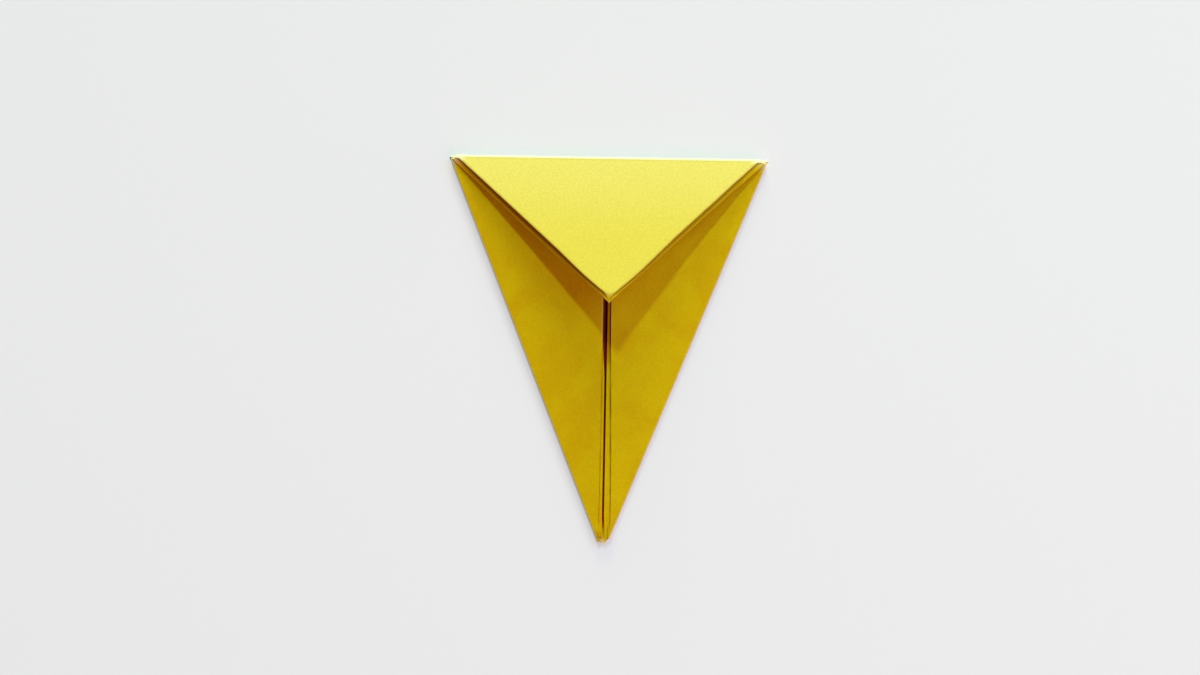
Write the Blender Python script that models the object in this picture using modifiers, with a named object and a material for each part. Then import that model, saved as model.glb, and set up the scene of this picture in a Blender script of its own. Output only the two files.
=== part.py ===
import math

import bmesh
import bpy
from mathutils import Vector

# Driving dimensions, in metres and degrees.
sheet_side = 0.150  # the square sheet before folding
paper_thickness = 0.00010
layer_air = 0.00015  # air between one layer and the next
tip_half_width = 0.00095  # the kite folds miss the open corner by this much
side_tip_lift = 0.00080  # the side corners end this far above the front and back corners
lift_angle = 27.0  # the folded-down triangle stands up from the body by this
flap_rise_angle = 3.2  # the front flaps slope up towards their cut edges
cut_edge_gap = 0.00020  # from the centre line to the cut edge of an inner flap layer
cut_edge_creep = 0.00080  # the outer flap layer ends this much short of the inner one
fold_clearance = 0.00010  # from the centre line to the folded edges beside it
pair_splay = 0.00130  # the triangle's lower pair of layers hangs this far below the upper pair
pair_creep = 0.00045  # and shows this far beyond it, half way along the slope

# How finely the sheet is divided.
body_rows = 11
flap_rows = 8
columns = 4
bend_steps = 5
crease_steps = 6
corner_rings = (0.66, 0.40, 0.20)
apex_rings = (0.66, 0.36, 0.14)

pitch = paper_thickness + layer_air
half = sheet_side / 2
corner_x = half * math.tan(math.radians(22.5))
kite_slope = (corner_x - tip_half_width) / half
kite_angle = math.atan(kite_slope)
kite_out = Vector((-math.cos(kite_angle), -math.sin(kite_angle), 0))
kite_reach = 1.5 * pitch + paper_thickness / 2
crease_reach = 4.5 * pitch + paper_thickness / 2
crease_y = half - crease_reach
crease_z = 6.5 * pitch + paper_thickness / 2
lift = math.radians(lift_angle)
flap_down = Vector((0, -math.cos(lift), math.sin(lift)))  # along the triangle, away from its crease
flap_up = Vector((0, math.sin(lift), math.cos(lift)))  # square to the triangle, away from the body
slope_out = (Vector((-1, 0, 0)) + flap_down).normalized()
fold_x = fold_clearance + (pitch + paper_thickness) / 2
back = Vector((0, 1, 0))
inwards = Vector((1, 0, 0))

points = []
weights = []
faces = []


def add(point, weight=1.0):
    points.append(Vector(point))
    weights.append(weight)
    return len(points) - 1


def skin(rows, closed=False):
    # Quads between each row of points and the next.
    for near, far in zip(rows, rows[1:]):
        count = len(near) if closed else len(near) - 1
        for k in range(count):
            m = (k + 1) % len(near)
            faces.append((near[k], near[m], far[m], far[k]))


def kite_axis_x(y):
    # Where the kite folds turn, left of the centre line.
    return kite_reach / math.cos(kite_angle) - tip_half_width - kite_slope * y


def ease(value):
    value = min(max(value, 0.0), 1.0)
    return value * value * (3 - 2 * value)


def inner_x(layer, outer):
    # The end of a row on the centre side: seam, folded edge or cut edge.
    if layer in (3, 6, 9, 12):
        return 0.0
    if layer in (4, 5, 10, 11):
        return -fold_x
    if layer in (2, 7):
        return -cut_edge_gap
    return max(-cut_edge_gap - cut_edge_creep, 0.6 * outer)


def body_layer(layer):
    # Rows from the open tip to the crease, each from the kite fold to the centre.
    rows = []
    rise = math.tan(math.radians(flap_rise_angle)) if layer in (7, 8) else 0.0
    for i in range(body_rows + 1):
        y = side_tip_lift + (crease_y - side_tip_lift) * i / body_rows
        outer = kite_axis_x(y)
        inner = inner_x(layer, outer)
        drop = side_tip_lift if layer in (3, 6) and i == 0 else 0.0
        ramp = ease((crease_y - y) / (0.3 * half))
        row = []
        for j in range(columns + 1):
            x = outer + (inner - outer) * j / columns
            lifted = rise * ramp * (x - outer) * (1.1 if layer == 8 else 1.0)
            z = paper_thickness / 2 + (layer - 1) * pitch + lifted
            row.append(add((x, y - drop * j / columns, z)))
        rows.append(row)
    skin(rows)
    return rows


def triangle_layer(layer):
    # Rows from the crease to the apex, each from the slope to the centre.
    rows = []
    corner = kite_axis_x(crease_y)
    end = -corner - fold_x - 2 * pitch
    radius = (layer - 7.5) * pitch
    lower = layer in (9, 10)
    for i in range(flap_rows + 1):
        v = i / flap_rows
        outer = corner + end * v
        inner = inner_x(layer, outer)
        row = []
        for j in range(columns + 1):
            u = j / columns
            x = outer + (inner - outer) * u
            point = Vector((x, crease_y, crease_z)) + flap_down * end * v + flap_up * radius
            if lower:
                near_slope = (1 - u) ** 2 * math.sin(math.pi * v)
                point += slope_out * pair_creep * near_slope
                point -= flap_up * pair_splay * near_slope
            row.append(add(point))
        rows.append(row)
    skin(rows)
    return rows


def bend(first, second, out, radius, steps=bend_steps):
    # A half-round fold from one line of points to another, bulging along out.
    rows = []
    for a, b in zip(first, second):
        middle = (points[a] + points[b]) / 2
        arm = (points[a] - points[b]) / 2
        row = [a]
        for k in range(1, steps):
            turn = math.pi * k / steps
            row.append(add(middle + arm * math.cos(turn) + out * radius * math.sin(turn)))
        rows.append(row + [b])
    skin(rows)
    return rows


def crease(first, second):
    # The fold over the top, turning about the crease line.
    rows = []
    for a, b in zip(first, second):
        radius = crease_z - points[a].z
        row = [a]
        for k in range(1, crease_steps):
            turn = -math.pi / 2 + (math.pi - lift) * k / crease_steps
            offset = Vector((0, math.cos(turn), math.sin(turn))) * radius
            row.append(add(Vector((points[a].x, crease_y, crease_z)) + offset))
        rows.append(row + [b])
    skin(rows)
    return rows


def cone(loop, centre, scales, fullness, closed):
    # The small crushed cone where several folds meet, thinner towards its point.
    rings = [loop]
    for scale in scales:
        rings.append([add(centre.lerp(points[k], scale), fullness * scale) for k in loop])
    skin(rings, closed)
    return rings[-1]


def side(rows, k):
    return [row[k] for row in rows]


def chain(*runs):
    # One loop from runs of points that each start where the last one ends.
    loop = []
    for run in runs:
        loop += run[:-1] if loop or run[0] != run[-1] else run
    return loop


layers = {k: body_layer(k) for k in range(1, 9)}
layers.update({k: triangle_layer(k) for k in range(9, 13)})

# Kite folds along the long sides.
kite = {}
for a, b in ((2, 3), (1, 4), (6, 7), (5, 8)):
    kite[a, b] = bend(side(layers[a], 0), side(layers[b], 0), kite_out, (b - a) * pitch / 2)

# The flaps' own top edges, tucked inside the crease.
top = {}
for a, b in ((1, 2), (7, 8)):
    top[a, b] = bend(layers[a][-1], layers[b][-1], back, pitch / 2)

# The crease, four layers one round another.
over = {}
for a, b in ((6, 9), (5, 10), (4, 11), (3, 12)):
    over[a, b] = crease(layers[a][-1], layers[b][0])

# The triangle's sloping edges.
slope = {}
for a, b in ((9, 10), (11, 12)):
    slope[a, b] = bend(side(layers[a], 0), side(layers[b], 0), slope_out, pitch / 2)

# The side quarters' own middle fold, down the body, round the crease and along the triangle.
middle_body = bend(side(layers[5], -1), side(layers[4], -1), inwards, pitch / 2)
middle_flap = bend(side(layers[10], -1), side(layers[11], -1), inwards, pitch / 2)
inner_turn = over[5, 10][-1]
outer_turn = over[4, 11][-1]
middle_turn = [middle_body[-1]]
for k in range(1, crease_steps):
    a = points[inner_turn[k]]
    b = points[outer_turn[k]]
    row = [inner_turn[k]]
    for step in range(1, bend_steps):
        turn = math.pi * step / bend_steps
        ring_point = (a + b) / 2 + (a - b) / 2 * math.cos(turn)
        row.append(add(ring_point + inwards * pitch / 2 * math.sin(turn)))
    middle_turn.append(row + [outer_turn[k]])
middle_turn.append(middle_flap[0])
skin(middle_turn)

# Where the folds meet: two cones at the end of the crease, each left with a pinhole.
corner = Vector((kite_axis_x(crease_y), crease_y, crease_z))
front_loop = chain(
    kite[6, 7][-1],
    top[7, 8][0],
    kite[5, 8][-1][::-1],
    over[5, 10][0],
    slope[9, 10][0][::-1],
    over[6, 9][0][::-1],
)
cone(front_loop, corner + Vector((-2.0, 1.5, 0)) * pitch, corner_rings, 0.45, True)
back_loop = chain(
    kite[2, 3][-1][::-1],
    top[1, 2][0][::-1],
    kite[1, 4][-1],
    over[4, 11][0],
    slope[11, 12][0],
    over[3, 12][0][::-1],
)
cone(back_loop, corner + Vector((-3.8, 2.8, -0.3)) * pitch, corner_rings, 0.45, True)

# The apex is the middle of the sheet, and it is closed.
apex_run = (
    layers[9][-1][::-1]
    + slope[9, 10][-1][1:]
    + layers[10][-1][1:]
    + middle_flap[-1][1:]
    + layers[11][-1][::-1][1:]
    + slope[11, 12][-1][1:]
    + layers[12][-1][1:]
)
apex_end = -corner.x + 0.25 * pitch
apex = Vector((0, crease_y, crease_z)) + flap_down * apex_end + flap_up * 3 * pitch
apex_ring = cone(apex_run, apex, apex_rings, 1.0, False)
apex_tip = add(apex, 0.0)
for near, far in zip(apex_ring, apex_ring[1:]):
    faces.append((near, far, apex_tip))

for old in list(bpy.data.objects):
    bpy.data.objects.remove(old)

collection = bpy.data.collections.new("origami_base")
bpy.context.scene.collection.children.link(collection)
mesh = bpy.data.meshes.new("folded_sheet")
mesh.from_pydata([tuple(point) for point in points], [], faces)
shell = bmesh.new()
shell.from_mesh(mesh)
bmesh.ops.recalc_face_normals(shell, faces=shell.faces)
shell.to_mesh(mesh)
shell.free()
mesh.shade_smooth()
mesh.set_sharp_from_angle(angle=math.radians(50))
body = bpy.data.objects.new("folded_sheet", mesh)
collection.objects.link(body)
group = body.vertex_groups.new(name="paper")
for index, weight in enumerate(weights):
    group.add([index], weight, "REPLACE")

mirror = body.modifiers.new("other half", "MIRROR")
mirror.use_axis = (True, False, False)
mirror.merge_threshold = 0.000005
thicken = body.modifiers.new("paper", "SOLIDIFY")
thicken.thickness = paper_thickness
thicken.offset = 0
thicken.vertex_group = "paper"
thicken.thickness_vertex_group = 0.03

# The origin goes to the middle of the underside of the finished solid.
bpy.context.view_layer.update()
solid = body.evaluated_get(bpy.context.evaluated_depsgraph_get())
corners = [Vector(c) for c in solid.bound_box]
low_y = min(c.y for c in corners)
high_y = max(c.y for c in corners)
low_z = min(c.z for c in corners)
for vertex in mesh.vertices:
    vertex.co -= Vector((0, (low_y + high_y) / 2, low_z))

paper = bpy.data.materials.new("yellow paper")
paper.use_nodes = True
shader = paper.node_tree.nodes["Principled BSDF"]
shader.inputs["Base Color"].default_value = (0.62, 0.42, 0.01, 1)
shader.inputs["Roughness"].default_value = 0.45
mesh.materials.append(paper)
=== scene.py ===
import math

import bmesh
import bpy
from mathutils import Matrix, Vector


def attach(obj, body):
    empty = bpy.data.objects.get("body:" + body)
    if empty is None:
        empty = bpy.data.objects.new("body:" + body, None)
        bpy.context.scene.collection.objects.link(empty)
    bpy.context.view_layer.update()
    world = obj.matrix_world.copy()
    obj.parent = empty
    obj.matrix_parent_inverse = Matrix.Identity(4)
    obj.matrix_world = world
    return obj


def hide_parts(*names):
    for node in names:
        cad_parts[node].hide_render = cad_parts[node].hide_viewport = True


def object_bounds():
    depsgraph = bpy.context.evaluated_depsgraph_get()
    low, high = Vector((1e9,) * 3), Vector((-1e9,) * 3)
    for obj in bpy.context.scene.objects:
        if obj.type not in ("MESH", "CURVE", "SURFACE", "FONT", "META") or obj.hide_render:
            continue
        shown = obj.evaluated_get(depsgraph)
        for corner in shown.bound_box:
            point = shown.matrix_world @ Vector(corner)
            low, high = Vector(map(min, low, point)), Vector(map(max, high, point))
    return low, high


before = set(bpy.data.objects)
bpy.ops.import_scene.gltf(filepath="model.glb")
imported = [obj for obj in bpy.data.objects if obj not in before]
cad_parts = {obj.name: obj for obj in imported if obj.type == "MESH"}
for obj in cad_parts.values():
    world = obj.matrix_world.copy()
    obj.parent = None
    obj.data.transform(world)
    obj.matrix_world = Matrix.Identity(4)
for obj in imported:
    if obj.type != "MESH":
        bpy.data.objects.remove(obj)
cadLow, cadHigh = [Vector(corner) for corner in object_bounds()]
scene = bpy.context.scene
print("frame loaded")


class Wire:  # an output that can stand in a sum
    def __init__(self, net, node, socket):
        self.net = net
        self.node = node
        self.socket = socket

    def out(self, name):
        return Wire(self.net, self.node, self.node.outputs[name])

    def calc(self, operation, *others):
        return self.net.calc(operation, self, *others)

    def __add__(self, other):
        return self.calc("ADD", other)

    def __radd__(self, other):
        return self.calc("ADD", other)

    def __sub__(self, other):
        return self.calc("SUBTRACT", other)

    def __rsub__(self, other):
        return self.net.calc("SUBTRACT", other, self)

    def __mul__(self, other):
        return self.calc("MULTIPLY", other)

    def __rmul__(self, other):
        return self.calc("MULTIPLY", other)

    def __truediv__(self, other):
        return self.calc("DIVIDE", other)

    def __neg__(self):
        return self.calc("MULTIPLY", -1.0)

    def __pow__(self, other):
        return self.calc("POWER", other)


class Net:  # a node tree, shader or geometry
    def __init__(self, tree):
        self.tree = tree

    def add(self, kind, settings=None, sockets=None, out=0):
        node = self.tree.nodes.new(kind)
        for name, value in (settings or {}).items():
            setattr(node, name, value)
        for name, value in (sockets or {}).items():
            if isinstance(value, Wire):
                self.tree.links.new(value.socket, node.inputs[name])
            else:
                node.inputs[name].default_value = value
        return Wire(self, node, node.outputs[out] if len(node.outputs) else None)

    def calc(self, operation, *values):
        return self.add("ShaderNodeMath", {"operation": operation}, dict(enumerate(values)))

    def fade(self, value, start, end):  # 1 at start, 0 at end and beyond, eased
        sockets = {0: value, 1: start, 2: end, 3: 1.0, 4: 0.0}
        return self.add("ShaderNodeMapRange", {"interpolation_type": "SMOOTHSTEP"}, sockets)

    def blend(self, factor, first, second):  # colours
        sockets = {0: factor, 6: first, 7: second}
        return self.add("ShaderNodeMix", {"data_type": "RGBA"}, sockets, 2)


def rgb(red, green, blue):
    return (red, green, blue, 1.0)


paperLook = {
    "colour": rgb(0.580, 0.382, 0.0004),
    "sunned": rgb(0.690, 0.532, 0.070),  # painted light and sheen: the triangle's upper side, paler and more lemon
    "pale": rgb(0.760, 0.630, 0.215),  # painted sheen, paler still towards the crease
    "deep": rgb(0.545, 0.322, 0.0002),  # cloudy patches of fuller colour
    "worn": rgb(0.760, 0.640, 0.060),  # bared fibre along the folds
    "rubbedAndHighlight": rgb(0.940, 0.930, 0.640),  # rubbed corners, and the painted highlight along the crease
    "slit": rgb(0.330, 0.018, 0.002),  # painted shade: dark red in the deep fold between the flaps and between layers
    "cut": rgb(0.800, 0.540, 0.260),  # the core that a cut edge shows
    "speck": rgb(0.300, 0.200, 0.020),
    # how much of each colour shows where it is strongest
    "share": {
        "deep": 0.9, "pale": 0.40, "strand": 0.10, "line": 0.05,
        "worn": 0.15, "cut": 0.85, "speck": 0.75,
    },
    "paintedSheenReach": 0.020,  # how far the painted sheen reaches from the crease
    "light": 0.69,  # the plain level, and what the two grains add to it
    "lightGrain": 0.46,
    "lightFine": 0.16,
    "roughness": 0.55,
    "specular": 0.4,
    "tint": rgb(0.86, 1.0, 0.05),
    "grain": 3000.0,  # per metre
    "cloud": 140.0,
    "fibre": 900.0,
    "wear": 1500.0,
    "dullWidth": 0.00020,  # how far from a fold the sheen is gone
    "foldWear": 0.00010,  # how far from a fold the colour is rubbed
    "cutWear": 0.00016,  # and from a cut edge
    "lineWidth": 0.0006,  # the faint line down the triangle's middle
    "bump": 0.000012,
    # small dark spots on the left flap, the last one at its tip: x, y, radius
    "spots": (
        (-0.00134, -0.00932, 0.00016),
        (-0.02069, 0.01999, 0.00013),
        (-0.00085, -0.03615, 0.00032),
    ),
}


def paperMaterial(name, look, cutEdge=False):
    material = bpy.data.materials.new(name)
    material.use_nodes = True
    material.node_tree.nodes.clear()
    net = Net(material.node_tree)
    place = net.add("ShaderNodeTexCoord", out="Object")
    share = look["share"]
    mark = {}
    for label in ("foldGap", "cutGap", "across", "turned", "sunned", "corner", "slit", "down"):
        mark[label] = net.add("ShaderNodeAttribute", {"attribute_name": label}, out="Fac")

    def noise(scale, detail, rough, distortion=0.0):
        sockets = {"Vector": place, "Scale": scale, "Detail": detail, "Roughness": rough}
        sockets["Distortion"] = distortion
        return net.add("ShaderNodeTexNoise", {"noise_dimensions": "3D"}, sockets)

    grain = noise(look["grain"], 3.0, 0.6)
    fine = noise(look["grain"] * 2.3, 2.0, 0.5)
    cloud = noise(look["cloud"], 4.0, 0.55, 0.3)
    fibre = noise(look["fibre"], 5.0, 0.62, 1.6)
    strand = net.fade((fibre - 0.5).calc("ABSOLUTE"), 0.004, 0.030)

    apart = net.add("ShaderNodeSeparateXYZ", {}, {0: place}, "X")
    speck = 0.0
    for spotX, spotY, radius in look["spots"]:
        gapX, gapY = apart - spotX, apart.out("Y") - spotY
        distance = (gapX * gapX + gapY * gapY) ** 0.5
        speck = speck + net.fade(distance, radius * 0.5, radius)

    wearNoise = noise(look["wear"], 4.0, 0.6)
    patchy = 0.55 + 0.45 * net.fade(wearNoise, 0.62, 0.34)
    worn = net.fade(mark["foldGap"], 0.0, look["foldWear"]) * patchy
    cutRub = net.fade(mark["cutGap"], 0.0, look["cutWear"])
    turned, sunned = mark["turned"], mark["sunned"]
    onCrease = (turned * (1 - turned) * 6.0).calc("MINIMUM", 1.0)
    offMiddle = mark["across"].calc("ABSOLUTE")
    line = net.fade(offMiddle, 0.0, look["lineWidth"]) * net.fade(turned, 1.0, 0.9)

    base = net.blend(net.fade(cloud, 0.36, 0.66) * share["deep"], look["colour"], look["deep"])
    # painted light and sheen: the triangle's upper side is painted paler and more lemon, standing in
    # for the light and sheen it catches
    base = net.blend(sunned, base, look["sunned"])
    # painted sheen: the triangle is painted paler still towards the crease, standing in for the sheen
    # it catches there
    paintedCreaseSheen = net.fade(mark["down"], 0.0, look["paintedSheenReach"]) * sunned * share["pale"]
    base = net.blend(paintedCreaseSheen, base, look["pale"])
    light = look["light"] + grain * look["lightGrain"] + fine * look["lightFine"]
    base = net.add("ShaderNodeHueSaturation", {}, {"Value": light, "Color": base})
    base = net.blend(strand * share["strand"], base, look["worn"])
    base = net.blend(line * share["line"], base, look["worn"])
    base = net.blend(worn * share["worn"], base, look["worn"])
    # painted highlight: the crease's outer arc is painted near white, standing in for the light it
    # catches
    base = net.blend(onCrease * (0.80 + 0.20 * wearNoise), base, look["rubbedAndHighlight"])
    # painted shade: deep folds and the places between layers are painted dark red, standing in for the
    # shade there
    base = net.blend(mark["slit"], base, look["slit"])
    base = net.blend(cutRub * share["cut"], base, look["cut"])
    base = net.blend(mark["corner"] * (0.65 + 0.35 * wearNoise), base, look["rubbedAndHighlight"])
    base = net.blend(speck * share["speck"], base, look["speck"])
    if cutEdge:
        base = net.blend(0.5 + grain * 0.3, base, look["cut"])

    height = grain * 0.6 + fine * 0.25 + strand * 0.5 - worn * 0.3
    bump = {"Strength": 0.55, "Distance": look["bump"], "Height": height}
    normal = net.add("ShaderNodeBump", {}, bump, "Normal")
    roughness = look["roughness"] - 0.05 + grain * 0.08 + cloud * 0.05 + worn * 0.45 + cutRub * 0.2
    sockets = {
        "Base Color": base,
        "Roughness": roughness + (0.3 if cutEdge else 0.0),
        "Specular IOR Level": 0.3 if cutEdge else look["specular"],
        "Specular Tint": look["tint"],
        "Normal": normal,
    }
    smooth = net.add("ShaderNodeBsdfPrincipled", {}, sockets)
    dull = net.add("ShaderNodeBsdfDiffuse", {}, {"Color": base, "Roughness": 0.6, "Normal": normal})
    nearFold = net.fade(mark["foldGap"], 0.0, look["dullWidth"]) * (1 - onCrease)
    sheenLost = nearFold.calc("MAXIMUM", mark["slit"]) * 0.92
    shader = net.add("ShaderNodeMixShader", {}, {0: sheenLost, 1: smooth, 2: dull})
    net.add("ShaderNodeOutputMaterial", {}, {"Surface": shader})
    return material


yellowPaper = paperMaterial("yellow paper", paperLook)
cutPaper = paperMaterial("cut paper edge", paperLook, cutEdge=True)
print("paper finish made")


sheet = {
    "side": 0.150,
    "paper": 0.00010,
    "air": 0.00015,
    "tipHalfWidth": 0.00095,
    "tipLift": {-1: 0.00045, 1: 0.00115},  # side corners above the middle one, left and right
    "innerLift": 0.00082,  # and the ends of the folds beside the middle corner
    "drift": (0.00018, 0.00034),  # the centre line lies right of the middle, tip and crease
    "tipDrift": (0.00018, 0.006),  # more at the very tip, and up to where
    "foldClear": 0.00032,  # from the centre line to the folds beside it
    "groove": 0.00048,  # the front corner's middle crease sinks between the side quarters
    "grooveEnds": (0.003, 0.030, 0.012),  # from the tip, over the second; over the third at the crease
    # how far the flaps' points slant upwards to the centre, lower and upper layer
    "tipSlant": {7: {-1: 0.0003, 1: 0.0001}, 8: {-1: 0.0026, 1: 0.0018}},
    "slantFall": 20,  # the higher, the nearer the tip it stays
    "backCutEdge": (0.00020, 0.00100),  # inner and outer layer behind, from the centre line
    "backShare": 0.6,  # the outer one at most this share of the width near the tip
    # front cut edges from the centre line, at the tip and under the apex
    "innerCutEdge": {-1: (0.00040, 0.00086), 1: (0.00000, 0.00002)},
    "outerCutEdge": {-1: (0.00102, 0.00096), 1: (0.00132, 0.00070)},
    "edgeTurn": {7: (0.031, 0.010), 8: (0.004, 0.046)},  # the change starts there, over that length
    "outerShare": {-1: 0.66, 1: 0.93},  # as backShare, in front
    "creaseInset": 0.00004,
    # the upper pair's slope stands back by this, less so down the slope and near the apex
    "upperInset": {-1: (0.00090, 0.25, 0.35), 1: (0.00112, 0.85, 0.90)},
    "nearApex": (0.65, 0.25),  # sets in there and takes this much of the slope
    # the lower pair's, less so down the slope, and how far it juts at the apex
    "lowerInset": {-1: (0.00040, 0.5, 0.0), 1: (0.00040, 0.0, 0.00030)},
    "lowerBelly": 0.7,  # below 1 the widest place moves up towards the crease
    "slopeStart": 0.0015,  # the first part of the slope eases in
    "apexInset": 0.00035,
    "splay": {-1: 1.0, 1: 0.62},  # how far each side's lower pair hangs
    "splayBelly": (0.85, 0.9),  # its widest place, as above, and how flat it is there
    "flapRamp": 0.3,  # the flaps rise over this share of the half sheet below the crease
    "flapGap": 1.30,  # the upper layer of a flap rises this many times as much as the lower
    "cleanCut": (0.0002, 0.042, 0.008),  # the flaps' cut edges aren't rubbed up to there
    "bluntness": 0.0013,  # the side corners are rubbed pale this far
    "cornerRub": 0.8,
    "lowerCornerRub": 0.2,
    "tipPaling": (0.6, 0.0020),  # the middle corner at the open tip is painted paler, and how far
    "kiteRub": 0.50,  # the long folds are rubbed
    # painted shade: where the paper is painted dark and red between layers, standing in for the shade
    # there
    "slopeShade": {-1: 0.60, 1: 0.22},  # painted shade on the lower pair's own sloping fold
    "pairShade": {-1: 0.58, 1: 0.18},  # between the triangle's pairs, this deep and
    "pairShadeReach": (0.005, 0.003),  # this far in, fading over the second
    "grooveShade": (0.0012, 0.0005),  # out from the centre line, fading over the second
    "grooveShadeFoot": (0.0018, 0.0025),  # up from the tip, likewise
    "tipShade": {-1: (0.0007, 0.0024), 1: (0.0010, 0.0028)},  # beside each tip, from and up to
    "edgeShade": (0.65, 0.00026),  # beside the upper cut edge, and how far
    "underShade": (0.5, 0.034, 0.003),  # under the apex at the right, from there, over this
    "leftTipShade": (0.4, 0.0012, 0.0003),  # on the left flap's own point, likewise
    "bodyRows": 60,
    "triangleRows": 30,
    "creaseRows": 12,
    "columns": 18,
    "bendSteps": 8,
    "rowPull": 0.35,  # how much closer rows and columns stand at their ends
    "columnPull": 0.8,
}
sheetFold = {
    "Lift": math.radians(26.2),
    "Curl": math.radians(4.0),
    "Curl Length": 0.009,
    "Flap Rise": math.tan(math.radians(3.2)),
    "Pair Splay": 0.00135,
    "Pair Creep": 0.00001,
    "Apex Shift": 0.0085,  # sideways for each metre down the triangle
    "Notch": 0.00045,
    "Middle": 0.00034,  # the crease's own middle
    "Middle Dent": 0.00001,
    "Dent Width": 0.00035,
    "Ripple": 0.00007,
    "Ripple Scale": 70.0,
    "Waver": 0.00030,  # how far the triangle's slopes stray from straight
    "Waver Scale": 110.0,
    "Seed": 7.0,
}

diagonal = 0.7071  # sine and cosine of 45 degrees
farOff = 0.01  # marks a place far from a cut edge or from the middle line
pitch = sheet["paper"] + sheet["air"]
half = sheet["side"] / 2
halfPaper = sheet["paper"] / 2
kiteSlope = (half * math.tan(math.radians(22.5)) - sheet["tipHalfWidth"]) / half
kiteAngle = math.atan(kiteSlope)
# the crease turns about a line between a flap's two layers, 4.5 layers inside its outermost
creaseY = half - 4.5 * pitch - halfPaper - sheet["creaseInset"]
creaseZ = 6.5 * pitch + halfPaper
foldX = sheet["foldClear"] + (pitch + sheet["paper"]) / 2


def spaced(count, pull):  # 0 to 1, closer together at both ends
    steps = []
    for k in range(count + 1):
        even = k / count
        steps.append(even + pull * ((1 - math.cos(math.pi * even)) / 2 - even))
    return steps


def eased(value):
    value = min(max(value, 0.0), 1.0)
    return value * value * (3 - 2 * value)


def foldWidth(y):  # from the centre line to where the kite fold turns
    return sheet["tipHalfWidth"] + kiteSlope * y - (1.5 * pitch + halfPaper) / math.cos(kiteAngle)


cornerWidth = foldWidth(creaseY)
flapReach = cornerWidth - foldX - 2 * pitch
markNames = ("turned", "rise", "splay", "foldGap", "cutGap", "corner", "slit", "down", "sunned")


class Pattern:  # the sheet as it lies before the triangle is turned over
    def __init__(self):
        self.points = []
        self.faces = []
        self.weights = []
        self.marks = {name: [] for name in markNames}

    def add(self, point, **marks):
        self.points.append(Vector(point))
        self.weights.append(1.0)
        for name in markNames:
            self.marks[name].append(marks.get(name, 0.0))
        return len(self.points) - 1

    def skin(self, rows, closed=False):
        for near, far in zip(rows, rows[1:]):
            for k in range(len(near) if closed else len(near) - 1):
                m = (k + 1) % len(near)
                self.faces.append((near[k], near[m], far[m], far[k]))

    def bend(self, first, second, out, radius, **own):  # a half-round fold between two lines
        steps = sheet["bendSteps"]
        rows = []
        for a, b in zip(first, second):
            middle = (self.points[a] + self.points[b]) / 2
            arm = (self.points[a] - self.points[b]) / 2
            row = [a]
            for k in range(1, steps):
                turn = math.pi * k / steps
                point = middle + arm * math.cos(turn) + out * radius * math.sin(turn)
                marks = {name: self.marks[name][a] for name in markNames}
                marks["foldGap"] = 0.0
                for name, value in own.items():
                    marks[name] = max(marks[name], value * math.sin(turn))
                row.append(self.add(point, **marks))
            rows.append(row + [b])
        self.skin(rows)
        return rows


def innerWidth(level, side, y, outer):
    if level in (3, 6):
        return 0.0
    if level in (4, 5):
        return foldX
    if level == 2:
        return sheet["backCutEdge"][0]
    if level == 1:
        return min(sheet["backCutEdge"][1], sheet["backShare"] * outer)
    near, far = sheet["innerCutEdge" if level == 7 else "outerCutEdge"][side]
    start, length = sheet["edgeTurn"][level]
    edge = near + (far - near) * eased((y - start) / length)
    return edge if level == 7 else min(edge, sheet["outerShare"][side] * outer)


def slopeShift(level, side, step):
    # How far outwards a sloping edge of the triangle lies from its straight line.
    if level in (3, 4):
        value, fall, late = sheet["upperInset"][side]
        start, length = sheet["nearApex"]
        return -value * (1 - fall * step) * (1 - late * eased((step - start) / length))
    value, fall, jut = sheet["lowerInset"][side]
    belly = abs(math.sin(math.pi * step ** sheet["lowerBelly"]))
    return jut * step - value * (1 - fall * step) * belly


def paintedShadeDepth(level, side, region, y, width, outer):
    # How deep a place lies between layers, where the paper is painted darker and redder as painted
    # shade.
    if region == "triangle" and level == 5:
        gap = (outer - width) * diagonal
        reach, fading = sheet["pairShadeReach"]
        return sheet["pairShade"][side] * eased((reach - gap) / fading)
    if region != "body":
        return 0.0
    if level == 6:
        reach, fading = sheet["grooveShade"]
        foot, footFading = sheet["grooveShadeFoot"]
        return eased((reach - width) / fading) * eased((y - foot) / footFading)
    fromCentre, upTo = sheet["tipShade"][side]
    tip = eased((upTo - y) / 0.0004) * eased((width - fromCentre) / 0.00006)
    if level == 7:
        edge = innerWidth(8, side, y, outer)
        depth, reach = sheet["edgeShade"]
        beside = depth * eased(1 - abs(width - edge) / reach)
        under = 0.0
        if side > 0:
            depth, start, length = sheet["underShade"]
            under = depth * (eased((y - start) / length) * eased((edge + 0.0001 - width) / 0.0001))
        return max(beside, under, tip)
    if level == 8 and side < 0:
        depth, start, length = sheet["leftTipShade"]
        return depth * tip * eased((y - start) / length)
    return 0.0


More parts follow.
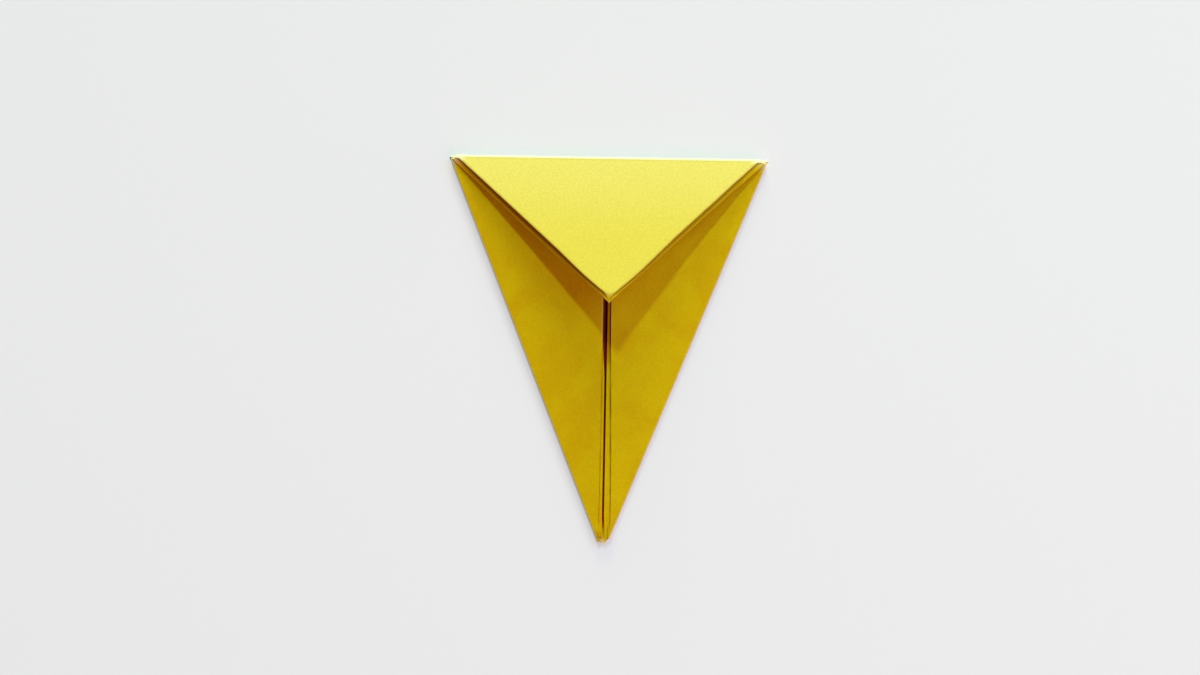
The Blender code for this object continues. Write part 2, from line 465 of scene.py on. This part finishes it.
def leaf(pattern, level, side, seam):
    # One layer of one half, as rows from the tip to the crease and, for four of
    # them, on round the crease and down the triangle, still laid out flat.
    z = halfPaper + (level - 1) * pitch
    columns = spaced(sheet["columns"], sheet["columnPull"])
    driftTip, driftCrease = sheet["drift"]
    tipDrift, tipDriftReach = sheet["tipDrift"]
    grooveStart, grooveIn, grooveOut = sheet["grooveEnds"]
    rows = []
    plan = [("body", step) for step in spaced(sheet["bodyRows"], sheet["rowPull"])]
    if level in (3, 4, 5, 6):
        plan += [("crease", k / sheet["creaseRows"]) for k in range(1, sheet["creaseRows"])]
        plan += [("triangle", step) for step in spaced(sheet["triangleRows"], sheet["rowPull"])]
    for region, step in plan:
        row = []
        lift = sheet["innerLift"] if level in (6, 7) else sheet["tipLift"][side]
        y = lift + (creaseY - lift) * step if region == "body" else creaseY
        seamY = creaseY * step if region == "body" and level in (3, 6) else y
        if level in (7, 8):  # the flaps end in slanted points
            seamY += sheet["tipSlant"][level][side] * (1 - step) ** sheet["slantFall"]
        groove = 0.0
        if level == 6 and region == "body":
            groove = sheet["groove"] * eased((y - grooveStart) / grooveIn)
            groove *= eased((creaseY - y) / grooveOut)
        outer = foldWidth(y)
        reach = 0.0
        if region == "triangle":
            reach = flapReach * step
            outer = cornerWidth - reach
        inner = innerWidth(level, side, y, outer)
        ramp = eased((creaseY - y) / (sheet["flapRamp"] * half))
        for u in columns:
            key = (level, region, step)
            if u == 1.0 and level in (3, 6) and key in seam:
                row.append(seam[key])
                continue
            width = outer + (inner - outer) * u
            toFold = outer - width
            if region == "triangle":
                toFold = min(toFold * diagonal, reach)
            elif level in (3, 4, 5, 6):
                toFold = min(toFold, creaseY - y)
            if level in (4, 5):
                toFold = min(toFold, width - inner)
            marks = {
                "turned": {"body": 0.0, "crease": step, "triangle": 1.0}[region],
                "foldGap": toFold if region != "crease" else 0.0,
                "cutGap": farOff,
            }
            if level == 8:
                clean, upTo, fading = sheet["cleanCut"]
                marks["cutGap"] = width - inner + clean * eased((upTo - y) / fading)
            # painted shade: how dark and red this place is painted between layers
            marks["slit"] = paintedShadeDepth(level, side, region, y + (seamY - y) * u, width, outer)
            marks["down"] = reach
            # painted light and sheen on the triangle's upper pair
            marks["sunned"] = marks["turned"] if level < 5 else 0.0
            fromCorner = math.hypot(width + reach - cornerWidth, reach - creaseY + y)
            lowerPair = level in (5, 6) and region == "triangle"
            paling = sheet["lowerCornerRub" if lowerPair else "cornerRub"]
            marks["corner"] = paling * eased(1 - fromCorner / sheet["bluntness"])
            if level == 6 and region == "body":
                # the open tip's middle corner is painted paler here
                paling, length = sheet["tipPaling"]
                marks["corner"] += paling * eased(1 - y / length)
            if level in (7, 8):
                marks["rise"] = ramp * (outer - width) * (sheet["flapGap"] if level == 8 else 1.0)
            if lowerPair:
                widest, flatness = sheet["splayBelly"]
                belly = abs(math.sin(math.pi * step ** widest)) ** flatness
                marks["splay"] = sheet["splay"][side] * (1 - u) ** 2 * belly
            sunk = groove * eased(1 - width / (sheet["foldClear"] + halfPaper))
            drift = driftTip + (driftCrease - driftTip) * y / half
            drift += tipDrift * eased(1 - y / tipDriftReach)
            across = side * width + drift * (1 - width / outer)
            along = y + (seamY - y) * u + reach
            if region != "body":
                down = reach / flapReach
                shift = slopeShift(level, side, down) * (1 - u) ** (2 - down) * diagonal
                away = eased(reach / sheet["slopeStart"])
                across += side * shift * (2 - away) * marks["turned"]
                along += shift * away
                if level in (3, 4):
                    along -= sheet["apexInset"] * down ** 12
            index = pattern.add((across, along, z - sunk), **marks)
            row.append(index)
            if u == 1.0 and level in (3, 6):
                seam[key] = index
        rows.append(row)
    pattern.skin(rows)
    return rows


def column(rows, k):
    return [row[k] for row in rows]


def chain(*runs):  # one loop from runs that each start where the last one ends
    loop = []
    for run in runs:
        loop += run[:-1] if loop or run[0] != run[-1] else run
    return loop


pattern = Pattern()
seam = {}
frontLoops = {}
backLoops = {}
apexRuns = {}
upperPoints = {}
bodyEnd = sheet["bodyRows"]
triangleStart = bodyEnd + sheet["creaseRows"]
for side in (-1, 1):
    leaves = {level: leaf(pattern, level, side, seam) for level in range(1, 9)}
    kiteOut = Vector((side * math.cos(kiteAngle), -math.sin(kiteAngle), 0))
    slopeOut = Vector((side, 1, 0)).normalized()
    kite = {}
    for a, b in ((2, 3), (1, 4), (6, 7), (5, 8)):  # folds along the long sides
        edges = [column(leaves[level][: bodyEnd + 1], 0) for level in (a, b)]
        kite[a, b] = pattern.bend(*edges, kiteOut, (b - a) * pitch / 2, corner=sheet["kiteRub"])
    top = {}
    for a, b in ((1, 2), (7, 8)):  # the flaps' own top edges, inside the crease
        top[a, b] = pattern.bend(leaves[a][-1], leaves[b][-1], Vector((0, 1, 0)), pitch / 2)
    slope = {}
    for a, b in ((6, 5), (4, 3)):  # the triangle's sloping edges
        edges = [column(leaves[level][triangleStart:], 0) for level in (a, b)]
        # painted shade on the lower pair's own sloping fold
        deep = sheet["slopeShade"][side] if a == 6 else 0.0
        slope[a, b] = pattern.bend(*edges, slopeOut, pitch / 2, slit=deep)
    edges = [column(leaves[level], -1) for level in (5, 4)]  # the side quarters' middle fold
    middle = pattern.bend(*edges, Vector((-side, 0, 0)), pitch / 2)
    over = {level: column(leaves[level][bodyEnd : triangleStart + 1], 0) for level in (3, 4, 5, 6)}
    frontLoops[side] = chain(
        kite[6, 7][-1], top[7, 8][0], kite[5, 8][-1][::-1],
        over[5], slope[6, 5][0][::-1], over[6][::-1],
    )
    backLoops[side] = chain(
        kite[2, 3][-1][::-1], top[1, 2][0][::-1], kite[1, 4][-1],
        over[4], slope[4, 3][0], over[3][::-1],
    )
    lowerRun = leaves[6][-1][::-1] + slope[6, 5][-1][1:] + leaves[5][-1][1:]
    middleRun = middle[-1][1:]
    upperRun = leaves[4][-1][::-1][1:] + slope[4, 3][-1][1:] + leaves[3][-1][1:]
    apexRuns[side] = lowerRun + middleRun + upperRun
    upperPoints.update({index: 1.0 for index in upperRun})
    for k, index in enumerate(middleRun):
        upperPoints[index] = (k + 1) / sheet["bendSteps"]


def setMarks(mesh, values):
    for name, numbers in values.items():
        attribute = mesh.attributes.new(name, "FLOAT", "POINT")
        attribute.data.foreach_set("value", numbers)


def workedOut(piece):  # its mesh as the modifiers leave it
    bpy.context.view_layer.update()
    depsgraph = bpy.context.evaluated_depsgraph_get()
    return bpy.data.meshes.new_from_object(piece.evaluated_get(depsgraph), depsgraph=depsgraph)


flatMesh = bpy.data.meshes.new("flat sheet")
flatMesh.from_pydata([tuple(point) for point in pattern.points], [], pattern.faces)
setMarks(flatMesh, pattern.marks)
setMarks(flatMesh, {"across": [point.x for point in pattern.points]})
flat = bpy.data.objects.new("flat sheet", flatMesh)
scene.collection.objects.link(flat)
print("flat pattern", len(pattern.faces), "faces")


def foldTree(values):
    # Turns what lies past the crease over by the marked share of the fold, about
    # the crease line, and springs the flaps and the triangle up.
    tree = bpy.data.node_groups.new("fold the triangle", "GeometryNodeTree")
    tree.interface.new_socket("Geometry", in_out="INPUT", socket_type="NodeSocketGeometry")
    for name, value in values.items():
        item = tree.interface.new_socket(name, in_out="INPUT", socket_type="NodeSocketFloat")
        item.default_value = value
    tree.interface.new_socket("Material", in_out="INPUT", socket_type="NodeSocketMaterial")
    tree.interface.new_socket("Geometry", in_out="OUTPUT", socket_type="NodeSocketGeometry")
    net = Net(tree)
    given = net.add("NodeGroupInput")
    size = {name: given.out(name) for name in values}
    mark = {}
    for name in ("turned", "rise", "splay"):
        mark[name] = net.add("GeometryNodeInputNamedAttribute", {"data_type": "FLOAT"}, {"Name": name})
    here = net.add("GeometryNodeInputPosition")
    apart = net.add("ShaderNodeSeparateXYZ", {}, {0: here}, "X")
    x, y, z = apart, apart.out("Y"), apart.out("Z")
    onTriangle = mark["turned"].calc("GREATER_THAN", 0.999)
    reach = (y - size["Crease Y"]) * onTriangle
    onCrease = (mark["turned"] * (1 - mark["turned"]) * 4.0).calc("MINIMUM", 1.0)
    aside = (x - size["Middle"]) / size["Dent Width"]
    near = (-(aside * aside)).calc("EXPONENT")

    # a slow ripple, the same through all the layers, so that they stay apart
    level = net.add("ShaderNodeCombineXYZ", {}, {"X": x, "Y": y})
    sockets = {"Vector": level, "W": size["Seed"], "Scale": size["Ripple Scale"], "Detail": 2.0}
    ripple = net.add("ShaderNodeTexNoise", {"noise_dimensions": "4D"}, sockets)
    creep = mark["splay"] * size["Pair Creep"] * diagonal
    sockets = {"Vector": level, "W": size["Seed"] + 3, "Scale": size["Waver Scale"], "Detail": 3.0}
    waver = net.add("ShaderNodeTexNoise", {"noise_dimensions": "4D"}, sockets)
    waver = (waver - 0.5) * size["Waver"] * (reach / 0.004).calc("MINIMUM", 1.0)
    moveX = x.calc("SIGN") * creep + reach * size["Apex Shift"] + waver
    # 1 on the crease's outermost layer, near 0 on its innermost
    outside = ((size["Crease Z"] - z) / pitch - 1) / 3.5
    moveY = creep + waver - near * size["Notch"] * onCrease * outside
    moveZ = mark["rise"] * size["Flap Rise"] + mark["splay"] * size["Pair Splay"]
    moveZ = moveZ + near * size["Middle Dent"] * mark["turned"] + ripple * size["Ripple"]
    offset = net.add("ShaderNodeCombineXYZ", {}, {"X": moveX, "Y": moveY, "Z": moveZ})
    laid = net.add("ShaderNodeVectorMath", {"operation": "ADD"}, {0: here, 1: offset})
    axis = net.add("ShaderNodeCombineXYZ", {}, {"Y": size["Crease Y"], "Z": size["Crease Z"]})
    curled = 1 - (-(reach / size["Curl Length"])).calc("EXPONENT")
    angle = mark["turned"] * (math.pi - size["Lift"] - size["Curl"]) + size["Curl"] * curled
    sockets = {"Vector": laid, "Center": axis, "Angle": angle}
    turned = net.add("ShaderNodeVectorRotate", {"rotation_type": "X_AXIS"}, sockets)
    moved = net.add("GeometryNodeSetPosition", {}, {"Geometry": given, "Position": turned})
    real = net.add("GeometryNodeRealizeInstances", {}, {0: moved})
    sockets = {"Geometry": real, "Material": given.out("Material")}
    painted = net.add("GeometryNodeSetMaterial", {}, sockets)
    net.add("NodeGroupOutput", {}, {0: painted})
    return tree


sheetFold["Crease Y"] = creaseY
sheetFold["Crease Z"] = creaseZ
tree = foldTree(sheetFold)
modifier = flat.modifiers.new("fold", "NODES")
modifier.node_group = tree
for item in tree.interface.items_tree:
    if item.in_out == "INPUT" and item.name in sheetFold:
        modifier[item.identifier] = float(sheetFold[item.name])
    if item.in_out == "INPUT" and item.name == "Material":
        modifier[item.identifier] = yellowPaper
foldedMesh = workedOut(flat)
bpy.data.objects.remove(flat)
print("triangle folded over")


# Where the folds meet, small crushed cones close the corners and the apex.
pattern.points = [vertex.co.copy() for vertex in foldedMesh.vertices]
across = [value.value for value in foldedMesh.attributes["across"].data]
coneSize = {
    "cornerRings": (0.66, 0.40, 0.20),
    "apexRings": (0.66, 0.36, 0.14),
    "apexReach": 0.00180,  # past the triangle's last row
    "lag": (0.00032, 0.00030, 0.00008),  # the upper pair's part of each apex ring stays back
    # where the two cones at each corner meet, out from the crease's end
    "front": Vector((2.0, 1.5, 0.0)) * pitch,
    "back": Vector((3.8, 2.8, -0.3)) * pitch,
    "fullness": 0.35,  # how thick the paper is where it is crushed
    "apexFullness": 0.6,
}


def cone(loop, centre, scales, fullness, bared, back=(), upper={}):
    # bared is 1 at a rubbed corner; each ring's upper points stay back by their share
    rings = [loop]
    for n, scale in enumerate(scales):
        ring = []
        for k in loop:
            point = centre.lerp(pattern.points[k], scale)
            if k in upper:
                point += back[n] * upper[k]
            marks = {"turned": 1.0, "cutGap": farOff, "down": paperLook["paintedSheenReach"] * (1 - bared)}
            # painted light and sheen on the apex cone's upper rings and on the rubbed corners
            marks["sunned"] = max(bared, upper.get(k, 0.0) if scale > 0.5 else 0.0)
            marks["corner"] = bared * min(1.0, 1.4 - scale)
            # painted shade in the apex cone's folds
            marks["slit"] = 0.2 * (1 - bared)
            ring.append(pattern.add(point, **marks))
            pattern.weights[-1] = fullness * scale
            across.append(farOff)
        rings.append(ring)
    pattern.skin(rings, closed=True)
    return rings[-1]


for side in (-1, 1):
    corner = Vector((side * cornerWidth, creaseY, creaseZ))
    for loops, name in ((frontLoops, "front"), (backLoops, "back")):
        out = coneSize[name]
        centre = corner + Vector((side * out.x, out.y, out.z))
        cone(loops[side], centre, coneSize["cornerRings"], coneSize["fullness"], 1.0)
apexRun = apexRuns[-1] + apexRuns[1][::-1][1:-1]
apexMiddle = sum((pattern.points[k] for k in apexRun), Vector()) / len(apexRun)
lift = sheetFold["Lift"]
flapDown = Vector((sheetFold["Apex Shift"], -math.cos(lift), math.sin(lift)))
apex = apexMiddle + flapDown * coneSize["apexReach"]
lag = [-flapDown * length for length in coneSize["lag"]]
ring = cone(apexRun, apex, coneSize["apexRings"], coneSize["apexFullness"], 0.0, lag, upperPoints)
tip = pattern.add(apex, turned=1.0, cutGap=farOff, down=paperLook["paintedSheenReach"], corner=0.5)
pattern.weights[-1] = 0.0
across.append(farOff)
for k in range(len(ring)):
    pattern.faces.append((ring[k], ring[(k + 1) % len(ring)], tip))

openMesh = bpy.data.meshes.new("paper")
openMesh.from_pydata([tuple(point) for point in pattern.points], [], pattern.faces)
setMarks(openMesh, {name: pattern.marks[name] for name in markNames if name not in ("rise", "splay")})
setMarks(openMesh, {"across": across})
shell = bmesh.new()
shell.from_mesh(openMesh)
bmesh.ops.recalc_face_normals(shell, faces=shell.faces)
shell.to_mesh(openMesh)
shell.free()
openMesh.materials.append(yellowPaper)
openMesh.materials.append(cutPaper)
paper = bpy.data.objects.new("paper", openMesh)
scene.collection.objects.link(paper)
group = paper.vertex_groups.new(name="paper")
for index, weight in enumerate(pattern.weights):
    group.add([index], weight, "REPLACE")
thicken = paper.modifiers.new("thickness", "SOLIDIFY")
thicken.thickness = sheet["paper"]
thicken.offset = 0
thicken.vertex_group = "paper"
thicken.thickness_vertex_group = 0.03
thicken.material_offset_rim = 1
sheetMesh = workedOut(paper)
paper.modifiers.clear()
paper.data = sheetMesh

# lay it on the table with its open tip where the solid's is
lowest = Vector([min(vertex.co[k] for vertex in sheetMesh.vertices) for k in range(3)])
for vertex in sheetMesh.vertices:
    vertex.co += Vector((0, cadLow.y - lowest.y, cadLow.z - lowest.z))
sheetMesh.shade_smooth()
sheetMesh.set_sharp_from_angle(angle=math.radians(50))
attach(paper, "root")
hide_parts("folded_sheet")
print("sheet", len(sheetMesh.polygons), "faces")


def seenRay(net):  # 1 for what the camera, gloss and glass look at
    ray = net.add("ShaderNodeLightPath", out="Is Camera Ray")
    return ray.calc("MAXIMUM", ray.out("Is Glossy Ray")).calc("MAXIMUM", ray.out("Is Transmission Ray"))


floorLook = {
    "size": 4.0,
    "below": 0.00002,  # just under the paper
    "colour": rgb(0.80, 0.80, 0.80),
    "glow": rgb(0.84, 0.84, 0.84),
    "share": 0.5,
}
floorMesh = bpy.data.meshes.new("floor")
reachOut = floorLook["size"] / 2
corners = [(-reachOut, -reachOut), (reachOut, -reachOut), (reachOut, reachOut), (-reachOut, reachOut)]
floorMesh.from_pydata([(x, y, -floorLook["below"]) for x, y in corners], [], [(0, 1, 2, 3)])
floor = bpy.data.objects.new("floor", floorMesh)
scene.collection.objects.link(floor)
floorMaterial = bpy.data.materials.new("pale floor")
floorMaterial.use_nodes = True
floorMaterial.node_tree.nodes.clear()
floorNet = Net(floorMaterial.node_tree)
plain = floorNet.add("ShaderNodeBsdfDiffuse", {}, {"Color": floorLook["colour"]})
glow = floorNet.add("ShaderNodeEmission", {}, {"Color": floorLook["glow"], "Strength": 1.0})
seenShare = seenRay(floorNet) * floorLook["share"]
mixed = floorNet.add("ShaderNodeMixShader", {}, {0: seenShare, 1: plain, 2: glow})
floorNet.add("ShaderNodeOutputMaterial", {}, {"Surface": mixed})
floorMesh.materials.append(floorMaterial)

lights = {
    # name: kind, direction it comes from, distance, size, power, colour
    "key": ("SUN", (-0.107, 0.592, 0.799), 1.5, math.radians(4.0), 1.45, (0.57, 0.93, 1.00)),
    "low box": ("AREA", (-0.05, 0.94, 0.342), 1.3, 0.45, 10.0, (1.00, 0.96, 0.40)),
    "fill": ("AREA", (0.52, 0.42, 0.74), 1.2, 0.75, 6.7, (0.50, 0.83, 1.00)),
    "front": ("AREA", (0.45, -0.60, 0.66), 1.2, 0.9, 8.6, (1.00, 0.48, 0.43)),
    "left edge": ("AREA", (-0.97, 0.05, 0.22), 1.2, 0.5, 0.5, (1.00, 0.95, 0.85)),
    "right edge": ("AREA", (0.97, -0.10, 0.22), 1.2, 0.5, 1.4, (1.00, 0.95, 0.85)),
}
for name, (kind, direction, distance, size, power, colour) in lights.items():
    lamp = bpy.data.lights.new(name, kind)
    lamp.energy = power
    lamp.color = colour
    if kind == "SUN":
        lamp.angle = size
    else:
        lamp.size = size
    light = bpy.data.objects.new(name, lamp)
    toward = Vector(direction).normalized()
    light.location = toward * distance
    light.rotation_euler = toward.to_track_quat("Z", "Y").to_euler()
    scene.collection.objects.link(light)

world = bpy.data.worlds.new("room")
scene.world = world
world.use_nodes = True
world.node_tree.nodes.clear()
net = Net(world.node_tree)
dim = net.add("ShaderNodeBackground", {}, {"Color": rgb(0.92, 0.54, 1.00), "Strength": 0.104})
pale = net.add("ShaderNodeBackground", {}, {"Color": rgb(0.86, 0.86, 0.85), "Strength": 1.0})
mixed = net.add("ShaderNodeMixShader", {}, {0: seenRay(net), 1: dim, 2: pale})
net.add("ShaderNodeOutputWorld", {}, {"Surface": mixed})

view = {"height": 0.6, "lens": 92.70, "left": 0.00114, "up": 0.00249, "roll": math.radians(0.92)}
lensData = bpy.data.cameras.new("camera")
lensData.lens = view["lens"]
lensData.sensor_width = 36.0
lensData.clip_start = 0.01
camera = bpy.data.objects.new("camera", lensData)
camera.location = (-view["left"], view["up"], view["height"])
camera.rotation_euler = (0, 0, view["roll"])
scene.collection.objects.link(camera)
scene.camera = camera
scene.view_settings.view_transform = "Standard"
print("floor, light and camera placed")
